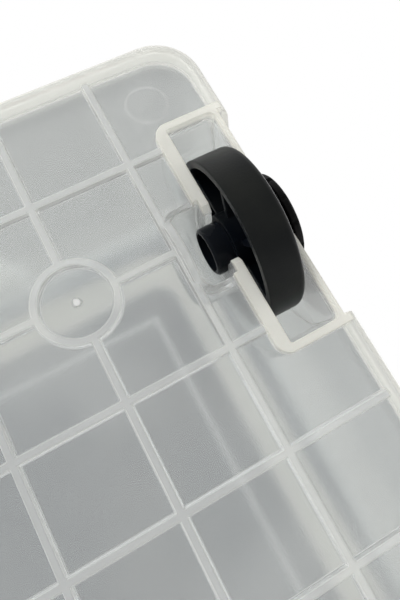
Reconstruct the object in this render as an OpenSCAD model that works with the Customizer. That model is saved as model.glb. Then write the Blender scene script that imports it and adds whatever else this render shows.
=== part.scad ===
// Wheeled gear box: a low translucent tub on four clip-in wheels, with a lift-off lid
// and a swing latch at each end. Millimetres, +Z up, wheels turn about X, box runs along Y.
// The origin is on the ground under the middle of the box. Front is -Y and right is +X.

/* [Tub] */
// Pitch of the rib grid under the floor
grid_pitch = 30; // [28:1:32]
// Grid cells across the floor
cells_x = 10; // [8:2:12]
// Grid cells along the floor
cells_y = 14; // [12:2:16]
// Height of the rim above the ground
tub_top = 176; // [150:1:220]
// Thickness of the side walls
wall = 2.5; // [2:0.1:3]
// How far each wall leans out between floor and rim
flare = 5; // [2:0.5:8]
// Plan radius of the outer corners at the floor
corner_r = 15; // [12:1:24]
// Width of the turned-out rim flange
flange_w = 6; // [5:0.5:8]

/* [Floor] */
// Thickness of the floor panel
floor_t = 2.5; // [2:0.1:3]
// Depth of the ribs below the panel
rib_h = 2; // [1.2:0.1:2.5]
// Width of a rib at its tip
rib_w = 1.9; // [1.6:0.1:2.4]
// Extra width of a rib at its root
rib_draft = 0.8; // [0:0.1:1.2]
// Outer radius of the round rib at each feed point
ring_r = 12; // [10:0.5:13]

/* [Wheels] */
// Wheel diameter
wheel_d = 52; // [48:1:54]
// Width of the tread
wheel_w = 11.7; // [10:0.1:12]
// Radius of the tread's outer edge
tread_round = 1.8; // [0.5:0.1:2.5]
// Thickness of the tread and of the web
wheel_wall = 2.2; // [1.6:0.1:3]
// Radial spokes on the open side of a wheel
spokes = 6; // [4:1:8]
// Axle tube diameter
axle_d = 15; // [12:0.5:16]
// Bore of the axle tube
axle_bore = 12.4; // [8:0.1:12.5]
// Height of the axle above the tips of the floor ribs
axle_lift = 10; // [8:0.5:12]
// Distance of each axle from the end of the floor panel
axle_inset = 61; // [58:1:66]
// Hub cap diameter
cap_d = 29; // [24:0.5:31]
// Radial gap of the axle in its seats
axle_gap = 0.08; // [0.03:0.01:0.1]

/* [Lid] */
// Height of the lid's border above the rim
lid_h = 10; // [8:0.5:14]
// Thickness of the lid
lid_t = 2.2; // [1.8:0.1:3]
// Width of the channel that takes the wheels of a box stacked on top
channel_w = 18.8; // [17:0.1:21]
// Depth of that channel
channel_d = 5.6; // [3:0.1:6]
// Inset of the thin bead below the lid's middle panel
bead_inset = 17; // [12:1:40]

/* [Latches] */
// Width of each end latch
latch_w = 116; // [80:2:140]
// Thickness of a latch
latch_t = 3; // [2.4:0.1:4]
// Reach of a closed latch over the lid
hook_reach = 6; // [4:0.5:8]

/* [Hidden] */
$fn = 64;
small = 0.01;
gap = 0.3;

// Heights, from the ground up
axle_z = wheel_d / 2;
rib_z = axle_z - axle_lift;
panel_z = rib_z + rib_h;
band_z = panel_z - 1;
floor_z = panel_z + floor_t;

// Plan of the tub: the floor panel, the band round it and the corner centres
panel_x = cells_x * grid_pitch / 2;
panel_y = cells_y * grid_pitch / 2;
panel_r = 12;
side_band = 5.5;
end_band = 8;
centre_x = panel_x + side_band - corner_r;
centre_y = panel_y + end_band - corner_r;
edge_round = 4;
inner_round = edge_round - wall;
foot_out = corner_r - edge_round;
wall_z = band_z + edge_round;
flange_t = 2.5;
lip_h = 8;
lip_t = 2;
rim_out = corner_r + flare;
flange_out = rim_out + flange_w;
function wall_out(z) = corner_r + flare * (z - wall_z) / (tub_top - wall_z);

// Wheel wells: the space for a wheel, and the shell round it
axle_y = panel_y - axle_inset;
axle_r = axle_d / 2;
seat_r = axle_r + axle_gap;
rim_w = 3.8;
side_w = 2.3;
outer_w = 1.4;
arch_wall = 2.6;
well_in = panel_x - 15.6;
well_face = panel_x + 1.4;
well_out = well_face - outer_w;
well_lip_z = rib_z - 0.5;
well_corner = 0.8;
outer_fillet = 2.2;
rim_r = 4.4;
rim_end = panel_x + side_band - 2.5;
arch_r = wheel_d / 2 - 2;
arch_z = axle_z + 4;
arch_half = wheel_d / 2 + 7.9;
well_half = wheel_d / 2 + 9.9;
recess_drop = 3;
pocket_in = panel_x - 28;
pocket_half = axle_r + 4.35;
pocket_wall = 2.2;
pocket_r = 4;
mouth_half = seat_r + 0.2;
mouth_bevel = 1.8;
snap_half = axle_r - 0.2;
snap_z = axle_z - 4.5;
snap_len = 2;

// Wheels, axles and caps, measured along X from the middle of the box
wheel_in = well_in + 0.75;
wheel_out = wheel_in + wheel_w;
boss_r = axle_r + 1.7;
spoke_t = 1.6;
spoke_set = 2.5;
axle_in = well_in - 5.4;
axle_out = well_face + 0.1;
cap_in = axle_out + 0.1;
cap_t = 2.4;
cap_face_t = 1;
cap_stem = 10;
cap_grips = 12;
cap_grip_r = 0.9;
grip_gap = 0.04;

// Lid levels, and the latch pivot below the flange
lid_z = tub_top + gap;
lid_top = lid_z + lid_h;
lid_round = 3;
channel_out = panel_x + 1.3;
border_in = channel_out - centre_x;
channel_z = lid_top - channel_d;
plug_out = rim_out - wall - 0.8;
plug_t = 2.2;
plug_drop = 8;
lid_panel_z = lid_top - 1.3;
lid_panel_r = 12;
bead_w = 1.6;
bead_h = 1;
pivot_z = tub_top - 18;
pivot_y = centre_y + flange_out + 0.6 + latch_t / 2;
pin_r = 2.5;
pin_gap = 0.06;
ear_t = 4;
ear_r = 5.5;
ear_x = latch_w / 2 + 0.4;
hook_t = 2.2;
hook_z = lid_top + gap - pivot_z;
latch_h = hook_z + hook_t;
latch_round = 6;
tab_w = 0.5 * latch_w;
tab_out = 5;
tab_t = 3;

CORNERS = [["front_right", 1, -1], ["front_left", -1, -1], ["rear_right", 1, 1], ["rear_left", -1, 1]];

// Helpers

// Rectangle of half sizes hx and hy with corners of radius r
module rounded(hx, hy, r) {
    square([2 * hx, 2 * (hy - r)], center = true);
    square([2 * (hx - r), 2 * hy], center = true);
    for (sx = [-1, 1], sy = [-1, 1])
        translate([sx * (hx - r), sy * (hy - r)]) circle(r);
}

// Outline a distance out from the line of corner centres
module outline(out) {
    rounded(centre_x + out, centre_y + out, out);
}

// Slab of a flat outline between two heights
module slab(z0, z1) {
    translate([0, 0, z0]) linear_extrude(z1 - z0) children();
}

// Carries a section round a rectangle whose corners turn about points at (hx, hy):
// in the section, x is the distance out from those points and y the height
module around(hx, hy) {
    for (turn = [0, 1, 2, 3]) rotate([0, 0, 90 * turn]) {
        corner = turn % 2 == 0 ? [hx, hy] : [hy, hx];
        translate(corner) rotate([90, 0, 0]) linear_extrude(2 * corner[1]) children();
        translate(corner) rotate_extrude(angle = 90) children();
    }
}

// Extrudes a section drawn in Y and Z from x0 to x1
module along_x(x0, x1) {
    translate([x0, 0, 0]) rotate([90, 0, 90]) linear_extrude(x1 - x0) children();
}

// Revolves a section about the axle: x is the radius, y the place along X
module about_axle() {
    translate([0, 0, axle_z]) rotate([0, 90, 0]) rotate_extrude() children();
}

// Puts a right-hand wheel station at one corner
module at_corner(sx, sy) {
    translate([0, sy * axle_y, 0]) mirror([sx < 0 ? 1 : 0, 0, 0]) children();
}

module at_all_corners() {
    for (corner = CORNERS) at_corner(corner[1], corner[2]) children();
}

module at_both_ends() {
    for (sy = [-1, 1]) mirror([0, sy < 0 ? 1 : 0, 0]) children();
}

// Tub

// Section of the wall, from the rounded foot to the turned-down flange
module wall_section() {
    difference() {
        union() {
            polygon([[foot_out, wall_z], [corner_r, wall_z], [wall_out(tub_top), tub_top],
                [rim_out - wall, tub_top], [corner_r - wall, wall_z]]);
            intersection() {
                translate([foot_out, wall_z]) circle(edge_round);
                translate([foot_out, band_z]) square([edge_round, edge_round + inner_round]);
            }
            translate([rim_out - wall / 2, tub_top - flange_t])
                square([flange_w + wall / 2, flange_t]);
            translate([flange_out - lip_t, tub_top - lip_h]) square([lip_t, lip_h]);
        }
        translate([foot_out, floor_z + inner_round]) circle(inner_round);
        translate([foot_out - small, floor_z + inner_round])
            square([inner_round + small, edge_round]);
    }
}

// Tapered bar along Y of a given length, tip down
module rib(length) {
    translate([0, length / 2, 0]) rotate([90, 0, 0]) linear_extrude(length)
        polygon([[-rib_w / 2, rib_z], [rib_w / 2, rib_z],
            [(rib_w + rib_draft) / 2, panel_z + small], [-(rib_w + rib_draft) / 2, panel_z + small]]);
}

module rib_grid() {
    for (i = [1 - cells_x / 2 : cells_x / 2 - 1])
        translate([i * grid_pitch, 0, 0]) rib(2 * panel_y + 1);
    for (j = [1 - cells_y / 2 : cells_y / 2 - 1])
        translate([0, j * grid_pitch, 0]) rotate([0, 0, 90]) rib(2 * panel_x + 1);
}

// Places of the four feed rings, on crossings of the grid next to the wheels
module at_rings() {
    for (sx = [-1, 1], sy = [-1, 1])
        translate([sx * (panel_x - 2 * grid_pitch), sy * (panel_y - 2 * grid_pitch), 0]) children();
}

module feed_ring() {
    rotate_extrude() polygon([[ring_r - rib_w, rib_z], [ring_r, rib_z],
        [ring_r + rib_draft / 2, panel_z + small], [ring_r - rib_w - rib_draft / 2, panel_z + small]]);
    slab(panel_z - 0.5, panel_z + small) circle(1.2);
}

// Arch of a wheel well seen along the axle, grown outwards, from a height below the floor up
module arch(grow, low) {
    shoulder = arch_half - arch_r;
    polygon([[-well_half - grow, low], [well_half + grow, low], [well_half + grow, floor_z],
        [arch_half + grow, arch_z], [-arch_half - grow, arch_z], [-well_half - grow, floor_z]]);
    intersection() {
        union() {
            for (side = [-1, 1]) translate([side * shoulder, arch_z]) circle(arch_r + grow);
            translate([-shoulder, arch_z]) square([2 * shoulder, arch_r + grow]);
        }
        translate([-2 * wheel_d, floor_z]) square([4 * wheel_d, 4 * wheel_d]);
    }
}

// Plan from x0 to x1 and half as wide as hy, with its corners at x0 rounded by r
module plan_from(x0, x1, hy, r) {
    translate([x0 + r, -hy]) square([x1 - x0 - r, 2 * hy]);
    translate([x0, r - hy]) square([r + small, 2 * (hy - r)]);
    for (side = [-1, 1]) translate([x0 + r, side * (hy - r)]) circle(r);
}

// Plan of the room in a well, grown by a little, with a fillet where its outer wall meets the ends
module room_plan(grow) {
    intersection() {
        plan_from(well_in - grow, well_face, well_half + grow, well_corner);
        mirror([1, 0]) plan_from(-well_out - grow, rim_w - well_in, well_half + grow, outer_fillet);
    }
}

// Rim below the floor: a broad inner bar, side bars out to the band and a thin outer wall
module well_rim() {
    slab(well_lip_z, floor_z - 0.5) difference() {
        plan_from(well_in - rim_w, rim_end, well_half + side_w, rim_r);
        room_plan(0);
    }
}

// Opening in the floor, under the middle of the rim
module well_opening() {
    inner = well_in - rim_w / 2;
    outer = well_out + outer_w / 2;
    translate([(inner + outer) / 2, 0, 0]) slab(-1, floor_z + 1)
        rounded((outer - inner) / 2, well_half + side_w / 2, rim_r / 2);
}

// Keeps a form on the outer side of x0, between two vertical corners of radius r at half width hy
module rounded_from(x0, hy, r) {
    intersection() {
        children();
        slab(-1, 2 * wheel_d) plan_from(x0, x0 + 2 * wheel_d, hy, r);
    }
}

// Shell of one wheel well: the rim, the arch above it and the skin behind the hub cap
module well_shell() {
    well_rim();
    rounded_from(well_in - arch_wall - 0.05, well_half + side_w, well_corner + arch_wall)
        along_x(well_in - arch_wall, well_face) arch(side_w - 0.1, floor_z - 1);
    along_x(well_face - 1, centre_x + corner_r - 0.8) arch(side_w - 0.4, floor_z - 0.5);
}

// Round-topped room for the end of an axle behind the inner wall, grown outwards
module pocket(grow, x1, low) {
    x0 = pocket_in - grow;
    half = pocket_half + grow;
    rounded_from(x0 - 0.05, half + 0.05, pocket_r + grow) along_x(x0, x1) {
        translate([0, axle_z]) circle(half);
        translate([-half, low]) square([2 * half, axle_z - low]);
    }
}

// Slot that the axle snaps up into, seen along the axle
module axle_slot() {
    translate([0, axle_z]) circle(seat_r);
    polygon([[-mouth_half - mouth_bevel, 0], [mouth_half + mouth_bevel, 0],
        [mouth_half + mouth_bevel, well_lip_z], [mouth_half, well_lip_z + mouth_bevel],
        [mouth_half, snap_z - snap_len], [snap_half, snap_z], [snap_half, axle_z],
        [-snap_half, axle_z], [-snap_half, snap_z], [-mouth_half, snap_z - snap_len],
        [-mouth_half, well_lip_z + mouth_bevel], [-mouth_half - mouth_bevel, well_lip_z]]);
}

// Room of one wheel station: well, pocket, slots and the recess for the hub cap
module station_room() {
    intersection() {
        along_x(well_in + 0.1, well_out - 0.1) arch(-0.1, -1);
        slab(-2, 2 * wheel_d) room_plan(-0.05);
    }
    pocket(0, well_in - arch_wall + 0.2, -0.5);
    along_x(well_in - rim_w - 1, well_face + 1) axle_slot();
    along_x(well_face - 0.1, well_face + wheel_d) intersection() {
        arch(-0.1, -1);
        translate([-wheel_d, -1]) square([2 * wheel_d, arch_z + arch_r - recess_drop + 1]);
    }
}

// Ear that carries one pin of a latch
module latch_ear() {
    root = centre_y + wall_out(pivot_z) - wall / 2;
    along_x(ear_x, ear_x + ear_t) {
        translate([pivot_y, pivot_z]) circle(ear_r);
        polygon([[root, pivot_z + ear_r], [pivot_y, pivot_z + ear_r],
            [pivot_y, pivot_z - ear_r], [root, pivot_z - 2.2 * ear_r]]);
    }
}

module tub() {
    color([0.84, 0.85, 0.84, 0.65]) difference() {
        union() {
            around(centre_x, centre_y) wall_section();
            difference() {
                union() {
                    difference() {
                        slab(band_z, floor_z) outline(foot_out + small);
                        slab(0, panel_z) rounded(panel_x, panel_y, panel_r);
                    }
                    rib_grid();
                }
                at_rings() slab(0, panel_z) circle(ring_r - rib_w / 2);
                at_all_corners() well_opening();
            }
            at_rings() feed_ring();
            at_all_corners() {
                well_shell();
                pocket(pocket_wall, well_in - 1, panel_z);
            }
            at_both_ends() for (sx = [0, 1]) mirror([sx, 0, 0]) latch_ear();
        }
        at_all_corners() station_room();
        at_both_ends() translate([0, pivot_y, pivot_z]) rotate([0, 90, 0])
            cylinder(r = pin_r + pin_gap, h = 2 * (ear_x + ear_t + 1), center = true);
    }
}

// Lid

// Section of the raised border, with the plug that sits inside the tub
module border_section() {
    difference() {
        union() {
            for (x = [border_in + lid_round, flange_out - lid_round])
                translate([x, lid_top - lid_round]) circle(lid_round);
            translate([border_in + lid_round, lid_top - 2 * lid_round])
                square([flange_out - border_in - 2 * lid_round, 2 * lid_round]);
            translate([border_in, channel_z - lid_t])
                square([flange_out - border_in, lid_h - lid_round - (channel_z - lid_t - lid_z)]);
            translate([flange_out - lid_t, lid_z]) square([lid_t, lid_h - lid_round]);
        }
        translate([border_in + lid_t, lid_z - 1])
            square([flange_out - border_in - 2 * lid_t, lid_h + 1 - lid_t]);
    }
    translate([plug_out - plug_t, tub_top - plug_drop])
        square([plug_t, lid_top - lid_t / 2 - tub_top + plug_drop]);
}

// Middle of the lid: channel floor, the step up from it and the panel with its bead
module lid_middle() {
    half_x = channel_out - channel_w;
    half_y = centre_y + border_in - channel_w;
    difference() {
        slab(channel_z - lid_t, channel_z) outline(border_in + lid_t / 2);
        slab(0, lid_top) rounded(half_x - lid_t, half_y - lid_t, lid_panel_r - lid_t);
    }
    difference() {
        slab(channel_z - lid_t, lid_panel_z) rounded(half_x, half_y, lid_panel_r);
        slab(0, lid_panel_z - lid_t) rounded(half_x - lid_t, half_y - lid_t, lid_panel_r - lid_t);
    }
    slab(lid_panel_z - lid_t - bead_h, lid_panel_z - lid_t + small) difference() {
        square(2 * [half_x - bead_inset, half_y - bead_inset], center = true);
        square(2 * [half_x - bead_inset - bead_w, half_y - bead_inset - bead_w], center = true);
    }
}

module lid() {
    color([0.86, 0.87, 0.86, 0.65]) {
        around(centre_x, centre_y) border_section();
        lid_middle();
    }
}

// Latches

// Section of a closed latch seen along its pivot: x points away from the box
module latch_section(with_tab) {
    circle(latch_t / 2 + 1.8);
    translate([-latch_t / 2, 0]) square([latch_t, latch_h]);
    translate([-hook_reach - latch_t / 2, hook_z]) square([hook_reach + latch_t / 2, hook_t]);
    if (with_tab) translate([0, latch_h - 2 * tab_t]) square([latch_t / 2 + tab_out, tab_t]);
}

// The latch hangs open, so its closed section is turned half round
module rear_latch() {
    color([0.90, 0.91, 0.90, 0.8]) translate([0, pivot_y, pivot_z]) rotate([180, 0, 0]) {
        intersection() {
            union() {
                along_x(-latch_w / 2, latch_w / 2) latch_section(false);
                along_x(-tab_w / 2, tab_w / 2) latch_section(true);
            }
            rotate([90, 0, 0]) translate([0, 0, -wheel_d]) linear_extrude(2 * wheel_d) union() {
                rounded(latch_w / 2, latch_h, latch_round);
                square([latch_w, latch_h], center = true);
            }
        }
        for (side = [-1, 1]) translate([side * (latch_w / 2 - 1), 0, 0]) rotate([0, side * 90, 0])
            cylinder(r = pin_r, h = ear_t + 1);
    }
}

module front_latch() {
    mirror([0, 1, 0]) rear_latch();
}

// Wheels

// Wheel, dished on the side that faces the middle of the box
module wheel() {
    tread_in = wheel_d / 2 - wheel_wall;
    color([0.16, 0.17, 0.17]) union() {
        about_axle() difference() {
            union() {
                translate([0, wheel_in]) square([wheel_d / 2, wheel_w - tread_round]);
                translate([0, wheel_in]) square([wheel_d / 2 - tread_round, wheel_w]);
                translate([wheel_d / 2 - tread_round, wheel_out - tread_round]) circle(tread_round);
            }
            translate([0, wheel_in - 1]) square([axle_r + grip_gap, wheel_w + 2]);
            translate([boss_r, wheel_in - 1]) square([tread_in - boss_r, wheel_w + 1 - wheel_wall]);
        }
        for (i = [0 : spokes - 1])
            translate([wheel_in + spoke_set, 0, axle_z]) rotate([360 * i / spokes, 0, 0])
                translate([0, boss_r - 0.5, -spoke_t / 2])
                    cube([wheel_w - spoke_set - small, tread_in - boss_r + 1, spoke_t]);
    }
}

module axle() {
    color([0.10, 0.11, 0.12]) about_axle() difference() {
        translate([axle_bore / 2, axle_in]) square([axle_r - axle_bore / 2, axle_out - axle_in]);
        translate([axle_r, axle_in]) rotate(45) square(1, center = true);
    }
}

// Cap with a raised rim and small grips, on a stem that plugs the axle
module hub_cap() {
    color([0.06, 0.06, 0.06]) difference() {
        about_axle() difference() {
            union() {
                translate([0, cap_in]) square([cap_d / 2, cap_t - cap_face_t]);
                translate([0, cap_in]) square([cap_d / 2 - cap_face_t, cap_t]);
                translate([cap_d / 2 - cap_face_t, cap_in + cap_t - cap_face_t]) circle(cap_face_t);
                translate([0, cap_in - cap_stem]) square([axle_bore / 2 - grip_gap, cap_stem + small]);
            }
            translate([boss_r, cap_in + cap_t - 0.8]) square([cap_d / 2 - 3 - boss_r, 2]);
        }
        for (i = [0 : cap_grips - 1])
            translate([cap_in - 1, 0, axle_z]) rotate([360 * i / cap_grips, 0, 0])
                translate([0, cap_d / 2 + 0.3 * cap_grip_r, 0]) rotate([0, 90, 0])
                    cylinder(r = cap_grip_r, h = cap_t + 2);
    }
}

tub();
lid();
front_latch();
rear_latch();
for (corner = CORNERS) {
    at_corner(corner[1], corner[2]) wheel();
    at_corner(corner[1], corner[2]) axle();
    at_corner(corner[1], corner[2]) hub_cap();
}
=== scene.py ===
# %% [markdown]
# # A wheeled gear box in frosted plastic
# The box arrives as a finished CAD model: a tub, a lid, two latches and four clip-in wheels.
# Its shapes are right already, so this lesson is about what CAD leaves out: the camera, the light and
# the look of moulded plastic. Every length is in metres, in the frame of the CAD model.

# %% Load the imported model
import math

import bmesh
import bpy
from mathutils import Euler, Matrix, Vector

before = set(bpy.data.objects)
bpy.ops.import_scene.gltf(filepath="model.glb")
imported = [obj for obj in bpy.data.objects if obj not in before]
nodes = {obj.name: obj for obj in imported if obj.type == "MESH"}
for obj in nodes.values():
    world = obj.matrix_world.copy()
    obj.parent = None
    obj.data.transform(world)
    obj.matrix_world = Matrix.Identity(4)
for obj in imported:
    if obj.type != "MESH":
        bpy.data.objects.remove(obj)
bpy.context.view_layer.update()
scene = bpy.context.scene

# %% [markdown]
# ## Camera
# The picture looks up at the underside of one corner from a hand's width away. The camera was solved
# from the square rib grid of the floor, which gives its place, its turn and a wide lens.
# A small sideways shift stands for a picture that was cropped a little off its middle.

# %% Camera
LENS_MM = 29.98
CROP_SHIFT = -0.04
NEAREST_SEEN = 0.005
CAMERA_PLACE = (0.0997, -0.10363, -0.11237)
CAMERA_TURN = (-164.055, 3.597, 28.99)

camera_data = bpy.data.cameras.new("corner_camera")
camera_data.lens = LENS_MM
camera_data.shift_x = CROP_SHIFT
camera_data.clip_start = NEAREST_SEEN
camera = bpy.data.objects.new("corner_camera", camera_data)
camera.location = CAMERA_PLACE
camera.rotation_euler = Euler([math.radians(angle) for angle in CAMERA_TURN])
scene.collection.objects.link(camera)
scene.camera = camera
scene.view_settings.view_transform = "Standard"
print("camera:", CAMERA_PLACE, "lens", LENS_MM)

# %% [markdown]
# ## Shader maths
# A material is a graph of nodes, and graphs are tedious to write link by link. This small class wraps
# one output socket and overloads the operators, so that a line such as `0.2 + 0.1 * noise` adds its
# own Math nodes. Every other node comes from the one method `node`, and `other` reaches a second
# output of the same node.


# %% Signals that add, multiply and mix
class Signal:
    """One output socket of a node tree, or the bare tree before it has any."""

    def __init__(self, tree, socket=None):
        self.tree = tree
        self.socket = socket

    def node(self, kind, settings=None, inputs=None, output=0):
        made = self.tree.nodes.new(kind)
        for name, value in (settings or {}).items():
            setattr(made, name, value)
        for name, value in (inputs or {}).items():
            if isinstance(value, Signal):
                self.tree.links.new(value.socket, made.inputs[name])
            else:
                made.inputs[name].default_value = value
        return Signal(self.tree, made.outputs[output]) if made.outputs else None

    def other(self, output):
        return Signal(self.tree, self.socket.node.outputs[output])

    def maths(self, operation, *values):
        return self.node("ShaderNodeMath", {"operation": operation}, dict(enumerate(values)))

    def __add__(self, value):
        return self.maths("ADD", self, value)

    def __sub__(self, value):
        return self.maths("SUBTRACT", self, value)

    def __rsub__(self, value):
        return self.maths("SUBTRACT", value, self)

    def __mul__(self, value):
        return self.maths("MULTIPLY", self, value)

    def __abs__(self):
        return self.maths("ABSOLUTE", self)

    def least(self, value):
        return self.maths("MINIMUM", self, value)

    def most(self, value):
        return self.maths("MAXIMUM", self, value)

    def root(self):
        return self.maths("SQRT", self)

    def rise(self, low, high):
        """A smooth step from 0 at low to 1 at high, where low may also be the larger of the two."""
        return self.node("ShaderNodeMapRange", {"interpolation_type": "SMOOTHSTEP"},
                         {"Value": self, "From Min": low, "From Max": high})

    def tint(self, none, full):
        """A colour between two, by this share."""
        return self.node("ShaderNodeMix", {"data_type": "RGBA"},
                         {0: self, 6: (*none, 1), 7: (*full, 1)}, 2)

    def choose(self, none, full):
        """A shader between two, by this share."""
        return self.node("ShaderNodeMixShader", inputs={0: self, 1: none, 2: full})

    __radd__ = __add__
    __rmul__ = __mul__


def new_material(name):
    material = bpy.data.materials.new(name)
    material.use_nodes = True
    material.node_tree.nodes.clear()
    return material, Signal(material.node_tree)


def close_material(surface):
    surface.node("ShaderNodeOutputMaterial", inputs={"Surface": surface})


print("shader maths ready")

# %% [markdown]
# ## World, floor and lamps
# The background is plain white. Light Path tells apart the rays that meet it. Rays straight from the
# camera see white. Rays that come by reflection or through clear plastic see white walls that grow dim
# overhead and underfoot, so that the lid shows behind the floor of the box. As light on matt surfaces
# the world is dimmer, which leaves room for the lamps.
# The floor of the room is one pale sheet that fades into the white far from the box. It lets rays from
# below pass, so the camera under it sees the box, and from above it is an ordinary floor that takes
# the shadow.
# Three softboxes give plain light. The one under the floor lights the ribs and rims. Reflections leave
# it out, because its image would bleach the walls of the box in views from above.

# %% World
AMBIENT = 0.73
OVERHEAD = 0.19
WALLS_DIM = (0.25, 0.8)

world = bpy.data.worlds.new("white_room")
world.use_nodes = True
scene.world = world
sky = world.node_tree.nodes["Background"]
sky.inputs["Color"].default_value = (1, 1, 1, 1)
ray = Signal(world.node_tree).node("ShaderNodeLightPath", output="Is Camera Ray")
looks = ray.other("Is Glossy Ray").most(ray.other("Is Transmission Ray"))
heading = ray.node("ShaderNodeTexCoord", output="Generated")
upward = ray.node("ShaderNodeSeparateXYZ", inputs={"Vector": heading}, output="Z")
room = 1 - (1 - OVERHEAD) * abs(upward).rise(*WALLS_DIM)
brightness = ray.most(looks * room).most((1 - ray).least(1 - looks) * AMBIENT)
world.node_tree.links.new(brightness.socket, sky.inputs["Strength"])
print("world: white where it is seen,", AMBIENT, "as light")

# %% Floor
FLOOR_HALF = 3.0
FLOOR_CELLS = 8
FLOOR_FADE = (0.45, 1.8)
FLOOR_COLOUR = (0.78, 0.78, 0.77, 1)
FLOOR_ROUGHNESS = 0.9

floor_mesh = bpy.data.meshes.new("floor")
sheet = bmesh.new()
bmesh.ops.create_grid(sheet, x_segments=FLOOR_CELLS, y_segments=FLOOR_CELLS, size=FLOOR_HALF)
sheet.to_mesh(floor_mesh)
sheet.free()
floor = bpy.data.objects.new("floor", floor_mesh)
scene.collection.objects.link(floor)
floor.visible_shadow = False
floor.visible_diffuse = False
floor.visible_glossy = False
floor_paper, graph = new_material("floor_paper")
from_below = graph.node("ShaderNodeNewGeometry", output="Backfacing")
paper = graph.node("ShaderNodeBsdfPrincipled",
                   inputs={"Base Color": FLOOR_COLOUR, "Roughness": FLOOR_ROUGHNESS})
white = graph.node("ShaderNodeEmission", inputs={"Strength": 1.0})
spot = graph.node("ShaderNodeTexCoord", output="Object")
distance = graph.node("ShaderNodeVectorMath", {"operation": "LENGTH"}, {0: spot}, "Value")
seen = graph.node("ShaderNodeLightPath", output="Is Camera Ray")
open_air = graph.node("ShaderNodeBsdfTransparent")
from_above = (distance.rise(*FLOOR_FADE) * seen).choose(paper, white)
close_material(from_below.choose(from_above, open_air))
floor_mesh.materials.append(floor_paper)
print("floor:", 2 * FLOOR_HALF, "m square")

# %% Lamps
# Place, size and watts of each
LAMPS = {
    "softbox_above": ((-0.50, -0.65, 1.60), 1.5, 11.0),
    "softbox_right": ((1.00, -0.30, 1.30), 1.2, 8.0),
    "softbox_below": ((-0.90, -1.10, -1.25), 1.4, 26.0),
}
LAMP_AIM = Vector((0.08, -0.1, 0.06))

for name, (place, size, watts) in LAMPS.items():
    lamp_data = bpy.data.lights.new(name, "AREA")
    lamp_data.size = size
    lamp_data.energy = watts
    lamp = bpy.data.objects.new(name, lamp_data)
    lamp.location = place
    lamp.rotation_euler = (LAMP_AIM - Vector(place)).to_track_quat("-Z", "Y").to_euler()
    lamp.visible_camera = False
    lamp.visible_transmission = False
    lamp.visible_glossy = place[2] > 0
    scene.collection.objects.link(lamp)
    print(name, "at", place, watts, "W")

# %% [markdown]
# ## Frosted polypropylene
# The tub and the lid are natural polypropylene. Thin walls look clear and grey, because one sees
# through them, while thick ribs and rims scatter light and look milky. One could give the solid a
# scattering volume, which costs many more samples. Here two surfaces are mixed instead: a clear one
# that bends light like the real plastic, and a milky one that partly reflects light and partly glows
# with the light from behind. The share of milk follows the shape: it is highest on the rims of the
# wheel wells, lower on the ribs and the band round the floor, and low on the flat panels. Edges get
# some more. On the tub the extra milk along the edges and on the rounded foot of the walls is partly
# the milkier thick plastic and partly a painted highlight.

# %% Helpers for normals, noise and distances
BEVEL_SAMPLES = 4
EDGE_TURN = (0.01, 0.25)


def object_place(graph):
    """Coordinates that stay with a piece when it moves."""
    return graph.node("ShaderNodeTexCoord", output="Object")


def cloud(place, scale, detail=2.0):
    return place.node("ShaderNodeTexNoise", inputs={"Vector": place, "Scale": scale, "Detail": detail})


def rounded_normal(graph, radius):
    """The CAD edges are sharp; this rounds them for the light as a mould does."""
    return graph.node("ShaderNodeBevel", {"samples": BEVEL_SAMPLES}, {"Radius": radius})


def bumped(height, depth, normal):
    """A normal with a relief of the given depth in metres."""
    return height.node("ShaderNodeBump", inputs={"Strength": 1.0, "Distance": depth, "Height": height,
                                                 "Normal": normal})


def edge_share(graph, radius):
    """How close a point is to an edge: the rounded normal leaves the flat one there."""
    normal = rounded_normal(graph, radius)
    flat = graph.node("ShaderNodeNewGeometry", output="Normal")
    along = graph.node("ShaderNodeVectorMath", {"operation": "DOT_PRODUCT"},
                       {0: normal, 1: flat}, "Value")
    return (1 - along).rise(*EDGE_TURN)


def from_mark(x, y, mark):
    """Distance in plan from the nearest of four marks that stand alike about the middle."""
    dx = abs(x) - mark[0]
    dy = abs(y) - mark[1]
    return (dx * dx + dy * dy).root()


def from_rounded(dx, dy, half, radius):
    """Distance outside a rectangle with rounded corners, from the distances to its middle lines."""
    out_x = (dx - (half[0] - radius)).most(0.0)
    out_y = (dy - (half[1] - radius)).most(0.0)
    return (out_x * out_x + out_y * out_y).root() - radius


print("helpers ready")

# %% Frosted plastic
CLEAR_IOR = 1.49
GLOW_SHARE = 0.45
GLOW_COLOUR = (0.90, 0.89, 0.85, 1)
FLOW_SCALE = 14
FLOW_TONE = (0.35, 0.65)
FLOW_RELIEF = 0.4
FLOW_HAZE = 0.06
MIST_SCALE = 55
MIST_HAZE = 0.03
MOULD_R = 0.0007
RELIEF_DEPTH = 0.0005
SKIN_ROUGHNESS = 0.36
SKIN_FLOW = 0.12


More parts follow.
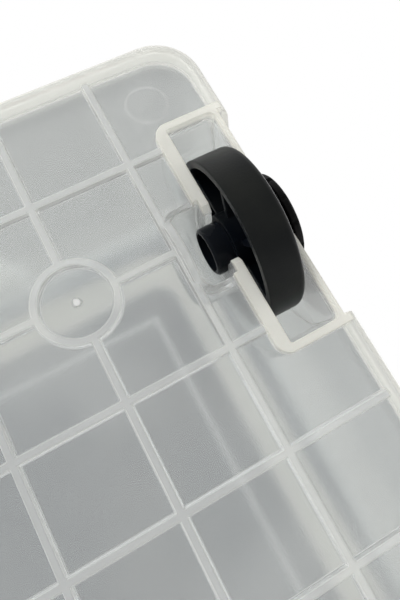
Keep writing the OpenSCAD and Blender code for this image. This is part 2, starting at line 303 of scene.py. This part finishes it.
def frosted(graph, place, milk, cream, clear_colours, milk_colours, haze, marks=0.0):
    """Clear and milky plastic mixed by the share of milk; cream chooses between two tones of milk."""
    flow = cloud(place, FLOW_SCALE, detail=3)
    mist = cloud(place, MIST_SCALE, detail=1)
    soft = rounded_normal(graph, MOULD_R)
    normal = bumped(FLOW_RELIEF * flow + marks, RELIEF_DEPTH, soft)
    clear = graph.node("ShaderNodeBsdfPrincipled", inputs={
        "Base Color": flow.rise(*FLOW_TONE).tint(*clear_colours),
        "Roughness": haze + FLOW_HAZE * flow + MIST_HAZE * mist,
        "IOR": CLEAR_IOR,
        "Transmission Weight": 1.0,
        "Normal": normal,
    })
    skin = graph.node("ShaderNodeBsdfPrincipled", inputs={
        "Base Color": cream.tint(*milk_colours),
        "Roughness": SKIN_ROUGHNESS + SKIN_FLOW * flow,
        "IOR": CLEAR_IOR,
        "Normal": normal,
    })
    glow = graph.node("ShaderNodeBsdfTranslucent", inputs={"Color": GLOW_COLOUR, "Normal": normal})
    milky = graph.node("ShaderNodeMixShader", inputs={0: GLOW_SHARE, 1: skin, 2: glow})
    return milk.choose(clear, milky)


def lets_lamps_through(surface, colour):
    """Lamps shine through clear plastic: their rays meet a tinted pane in its place."""
    lamp_ray = surface.node("ShaderNodeLightPath", output="Is Shadow Ray")
    pane = surface.node("ShaderNodeBsdfTransparent", inputs={"Color": (*colour, 1)})
    return lamp_ray.choose(surface, pane)


print("frosted plastic ready")

# %% Thick and thin places of the tub
# Places and heights as in the CAD model
PANEL_Z = 0.018
WELL_Y = 0.149
RIM_MID_X = 0.143
RIM_HALF = (0.0124, 0.0382)
RIM_R = 0.0044
POCKET_X = (0.1198, 0.1306)
POCKET_HALF_Y = 0.0141
PANEL_HALF = (0.150, 0.210)
PANEL_R = 0.012
FOOT_HALF = (0.1555, 0.218)
FOOT_R = 0.015
# Each pair says where a mask starts and where it is full, as a distance or as a height
RIM_FADE = (0.0006, 0.0001)
RIM_FADE_Z = (0.0195, 0.0165)
POCKET_FADE = (0.003, 0.0)
RIB_FADE_Z = (PANEL_Z - 0.0001, PANEL_Z - 0.0009)
BAND_FADE = (-0.0002, 0.0006)
BAND_FADE_Z = (0.0179, 0.0174)
FOOT_FADE = (-0.0030, -0.0020)
FOOT_FADE_Z = (0.034, 0.022)
WALL_FADE_Z = (0.024, 0.040)
TUB_EDGE_R = 0.0006

tub_plastic, graph = new_material("tub_frosted")
place = object_place(graph)
x = place.node("ShaderNodeSeparateXYZ", inputs={"Vector": place}, output="X")
y = x.other("Y")
z = x.other("Z")
from_rim = from_rounded(abs(abs(x) - RIM_MID_X), abs(abs(y) - WELL_Y), RIM_HALF, RIM_R)
by_well = from_rim.rise(*RIM_FADE)
on_rim = by_well * z.rise(*RIM_FADE_Z)
across_pocket = (POCKET_X[0] - abs(x)).most(abs(x) - POCKET_X[1])
on_pocket = across_pocket.most(abs(abs(y) - WELL_Y) - POCKET_HALF_Y).rise(*POCKET_FADE)
on_rib = z.rise(*RIB_FADE_Z)
on_band = from_rounded(abs(x), abs(y), PANEL_HALF, PANEL_R).rise(*BAND_FADE) * z.rise(*BAND_FADE_Z)
# The rounded foot of the outer walls; its cream milk is partly thicker plastic, partly a painted
# highlight
on_foot = from_rounded(abs(x), abs(y), FOOT_HALF, FOOT_R).rise(*FOOT_FADE) * z.rise(*FOOT_FADE_Z)
on_wall = z.rise(*WALL_FADE_Z)
# How near each point is to an edge; the extra milk there is partly milkier plastic, partly a painted
# highlight
tub_edge_milk_and_highlight = edge_share(graph, TUB_EDGE_R)
print("tub masks:", len(tub_plastic.node_tree.nodes), "nodes")

# %% Marks that the mould leaves
# A ragged white dot where the plastic was fed in, and a faint circle where a pin pushed the tub out
GATE_PLACE = (0.090, 0.150)
GATE_R = 0.0012
GATE_FADE = (GATE_R + 0.0009, GATE_R + 0.0004)
GATE_RAGGED = 0.0014
GATE_GRAIN = 900
GATE_RELIEF = 0.5
EJECTOR_PLACE = (0.134, 0.197)
EJECTOR_R = 0.0063
EJECTOR_LINE = (0.0005, 0.0002)
MARK_FADE_Z = (PANEL_Z + 0.0005, PANEL_Z)

underneath = z.rise(*MARK_FADE_Z)
from_gate = from_mark(x, y, GATE_PLACE) + GATE_RAGGED * cloud(place, GATE_GRAIN)
on_gate = from_gate.rise(*GATE_FADE) * underneath
from_ejector = from_mark(x, y, EJECTOR_PLACE) - EJECTOR_R
on_ejector = abs(from_ejector).rise(*EJECTOR_LINE) * underneath
print("gate marks at", GATE_PLACE, "ejector marks at", EJECTOR_PLACE)

# %% Tub plastic
PANEL_MILK = 0.07
RIB_MILK = 0.29
WALL_MILK = 0.17
EJECTOR_MILK = 0.15
WELL_MILK = 0.20
POCKET_MILK = 0.20
RIM_MILK = 0.74
BAND_MILK = 0.34
# Milk on the rounded foot: partly thicker plastic, partly a painted highlight along the rounding
FOOT_MILK_AND_HIGHLIGHT = 0.66
# Extra milk along the edges: partly milkier plastic, partly a painted highlight on the rounded edges
EDGE_MILK_AND_HIGHLIGHT = 0.50
FROST_HAZE = 0.08
TUB_CLEAR = ((0.80, 0.82, 0.83), (0.86, 0.88, 0.885))
TUB_MILKY = ((0.87, 0.87, 0.86), (0.95, 0.93, 0.845))
PANE_COLOUR = (0.82, 0.83, 0.83)

thick = (WELL_MILK * by_well).most(POCKET_MILK * on_pocket).most(RIM_MILK * on_rim)
thick = thick.most(BAND_MILK * on_band).most(FOOT_MILK_AND_HIGHLIGHT * on_foot)
thin = PANEL_MILK + RIB_MILK * on_rib + WALL_MILK * on_wall + EJECTOR_MILK * on_ejector
tub_milk = (thin.most(thick).most(on_gate) + EDGE_MILK_AND_HIGHLIGHT * tub_edge_milk_and_highlight).least(1.0)
# Cream tone on rims, band and foot; on the foot it is partly a painted highlight
tub_cream = on_rim.most(on_band).most(on_foot)
tub_surface = frosted(graph, place, tub_milk, tub_cream, TUB_CLEAR, TUB_MILKY, FROST_HAZE,
                      marks=GATE_RELIEF * on_gate)
close_material(lets_lamps_through(tub_surface, PANE_COLOUR))
print("tub_frosted:", len(tub_plastic.node_tree.nodes), "nodes")

# %% Lid plastic
# The panel of the lid is thin and clear; the channel round it and the bead on it are milkier
LID_PANEL_HALF = (0.1325, 0.1950)
LID_PANEL_R = 0.012
CHANNEL_W = 0.0188
CHANNEL_START = (-0.002, 0.001)
CHANNEL_END = (CHANNEL_W + 0.002, CHANNEL_W)
BEAD_INSET = 0.0178
BEAD_LINE = (0.0016, 0.0008)
LID_EDGE_R = 0.0008
PATCH_SCALE = 7
PATCH_TONE = (0.45, 0.62)
LID_PANEL_MILK = 0.08
PATCH_MILK = 0.06
CHANNEL_MILK = 0.36
BEAD_MILK = 0.55
LID_EDGE_MILK = 0.30
LID_CLEAR = ((0.74, 0.77, 0.81), (0.86, 0.87, 0.89))
LID_MILKY = ((0.82, 0.83, 0.83), (0.90, 0.87, 0.80))

lid_plastic, graph = new_material("lid_frosted")
place = object_place(graph)
x = place.node("ShaderNodeSeparateXYZ", inputs={"Vector": place}, output="X")
y = x.other("Y")
from_panel = from_rounded(abs(x), abs(y), LID_PANEL_HALF, LID_PANEL_R)
on_channel = from_panel.rise(*CHANNEL_START) * from_panel.rise(*CHANNEL_END)
inset = (abs(x) - LID_PANEL_HALF[0]).most(abs(y) - LID_PANEL_HALF[1])
on_bead = abs(inset + BEAD_INSET).rise(*BEAD_LINE)
lid_edges = edge_share(graph, LID_EDGE_R)
haze_patch = cloud(place, PATCH_SCALE).rise(*PATCH_TONE)
flat_milk = LID_PANEL_MILK + PATCH_MILK * haze_patch + CHANNEL_MILK * on_channel + BEAD_MILK * on_bead
lid_milk = flat_milk.most(LID_EDGE_MILK * lid_edges)
lid_surface = frosted(graph, place, lid_milk, on_channel, LID_CLEAR, LID_MILKY, FROST_HAZE)
close_material(lets_lamps_through(lid_surface, PANE_COLOUR))
print("lid_frosted:", len(lid_plastic.node_tree.nodes), "nodes")

# %% Latch plastic
# The latches are thicker, so they are milky all over, in two tones that drift into each other
LATCH_MILK = 0.55
LATCH_EDGE_MILK = 0.2
LATCH_EDGE_R = 0.0008
LATCH_HAZE = 0.14
TONE_SCALE = 40
TONE_DRIFT = (0.3, 0.7)
LATCH_CLEAR = ((0.74, 0.75, 0.75), (0.80, 0.80, 0.79))
LATCH_MILKY = ((0.80, 0.80, 0.78), (0.86, 0.86, 0.84))
LATCH_PANE_COLOUR = (0.70, 0.70, 0.70)

latch_plastic, graph = new_material("latch_milky")
place = object_place(graph)
latch_milk = LATCH_MILK + LATCH_EDGE_MILK * edge_share(graph, LATCH_EDGE_R)
latch_tone = cloud(place, TONE_SCALE).rise(*TONE_DRIFT)
latch_surface = frosted(graph, place, latch_milk, latch_tone, LATCH_CLEAR, LATCH_MILKY, LATCH_HAZE)
close_material(lets_lamps_through(latch_surface, LATCH_PANE_COLOUR))
print("latch_milky:", len(latch_plastic.node_tree.nodes), "nodes")

# %% [markdown]
# ## Black wheels
# Wheels, axles and caps are black plastic. One could paint them one flat black, but real ones are
# patchy: they carry a faint grey bloom in patches, the treads roll on floors and are a little rougher,
# the axle is polished by turning, and the cap has a coarser skin. The treads also get a lighter grey,
# which is a painted sheen. One function makes all three.

# %% Wheel, axle and cap
AXLE_Z = 0.026
TREAD_R = 0.026
TREAD_FADE = (TREAD_R - 0.0009, TREAD_R - 0.0002)
TREAD_ROUGHNESS = 0.06
WEAR_SCALE = 60
WEAR_TONE = (0.35, 0.75)
WEAR_BLOOM = 0.25
WEAR_ROUGHNESS = 0.12
BLACK_IOR = 1.5
BLACK_SPECULAR = 0.11
BLACK_EDGE_R = 0.0008


def from_axle(place):
    """Distance from the nearest axle; the four stand alike on both sides of the middle."""
    axes = place.node("ShaderNodeSeparateXYZ", inputs={"Vector": place}, output="Y")
    dy = abs(axes) - WELL_Y
    dz = axes.other("Z") - AXLE_Z
    return (dy * dy + dz * dz).root()


def black_plastic(name, dark, bloom_and_sheen, roughness, grain_scale, grain_depth, tread_painted_sheen=0.0):
    material, graph = new_material(name)
    place = object_place(graph)
    wear = cloud(place, WEAR_SCALE, detail=4)
    grain = cloud(place, grain_scale)
    on_tread = from_axle(place).rise(*TREAD_FADE)
    # Grey in random wear patches, plus a painted sheen on the tread
    wear_and_painted_sheen = WEAR_BLOOM * wear.rise(*WEAR_TONE) + tread_painted_sheen * on_tread
    surface = graph.node("ShaderNodeBsdfPrincipled", inputs={
        "Base Color": wear_and_painted_sheen.least(1.0).tint(dark, bloom_and_sheen),
        "Roughness": roughness + WEAR_ROUGHNESS * wear + TREAD_ROUGHNESS * on_tread,
        "IOR": BLACK_IOR,
        "Specular IOR Level": BLACK_SPECULAR,
        "Normal": bumped(grain, grain_depth, rounded_normal(graph, BLACK_EDGE_R)),
    })
    close_material(surface)
    return material


# The wheel's tread gets extra grey as a painted sheen
wheel_plastic = black_plastic("wheel_black", dark=(0.002, 0.003, 0.005), bloom_and_sheen=(0.024, 0.025, 0.021),
                              roughness=0.26, grain_scale=1500, grain_depth=0.00004, tread_painted_sheen=0.30)
axle_plastic = black_plastic("axle_black", dark=(0.004, 0.005, 0.007), bloom_and_sheen=(0.009, 0.011, 0.014),
                             roughness=0.20, grain_scale=1100, grain_depth=0.00002)
cap_plastic = black_plastic("cap_black", dark=(0.004, 0.004, 0.004), bloom_and_sheen=(0.010, 0.010, 0.010),
                            roughness=0.42, grain_scale=1800, grain_depth=0.00005)
print("black plastics ready")

# %% [markdown]
# ## Dressing the model
# The last word of a node's name says what the piece is, so it also says which plastic it gets. The CAD
# meshes are neither moved nor changed, so the box round the dressed model has to be the CAD box.

# %% Give every node its plastic
PLASTICS = {"tub": tub_plastic, "lid": lid_plastic, "latch": latch_plastic, "wheel": wheel_plastic,
            "axle": axle_plastic, "cap": cap_plastic}

for name, piece in nodes.items():
    piece.data.materials.clear()
    piece.data.materials.append(PLASTICS[name.split("_")[-1]])
    print(name, "in", piece.data.materials[0].name)
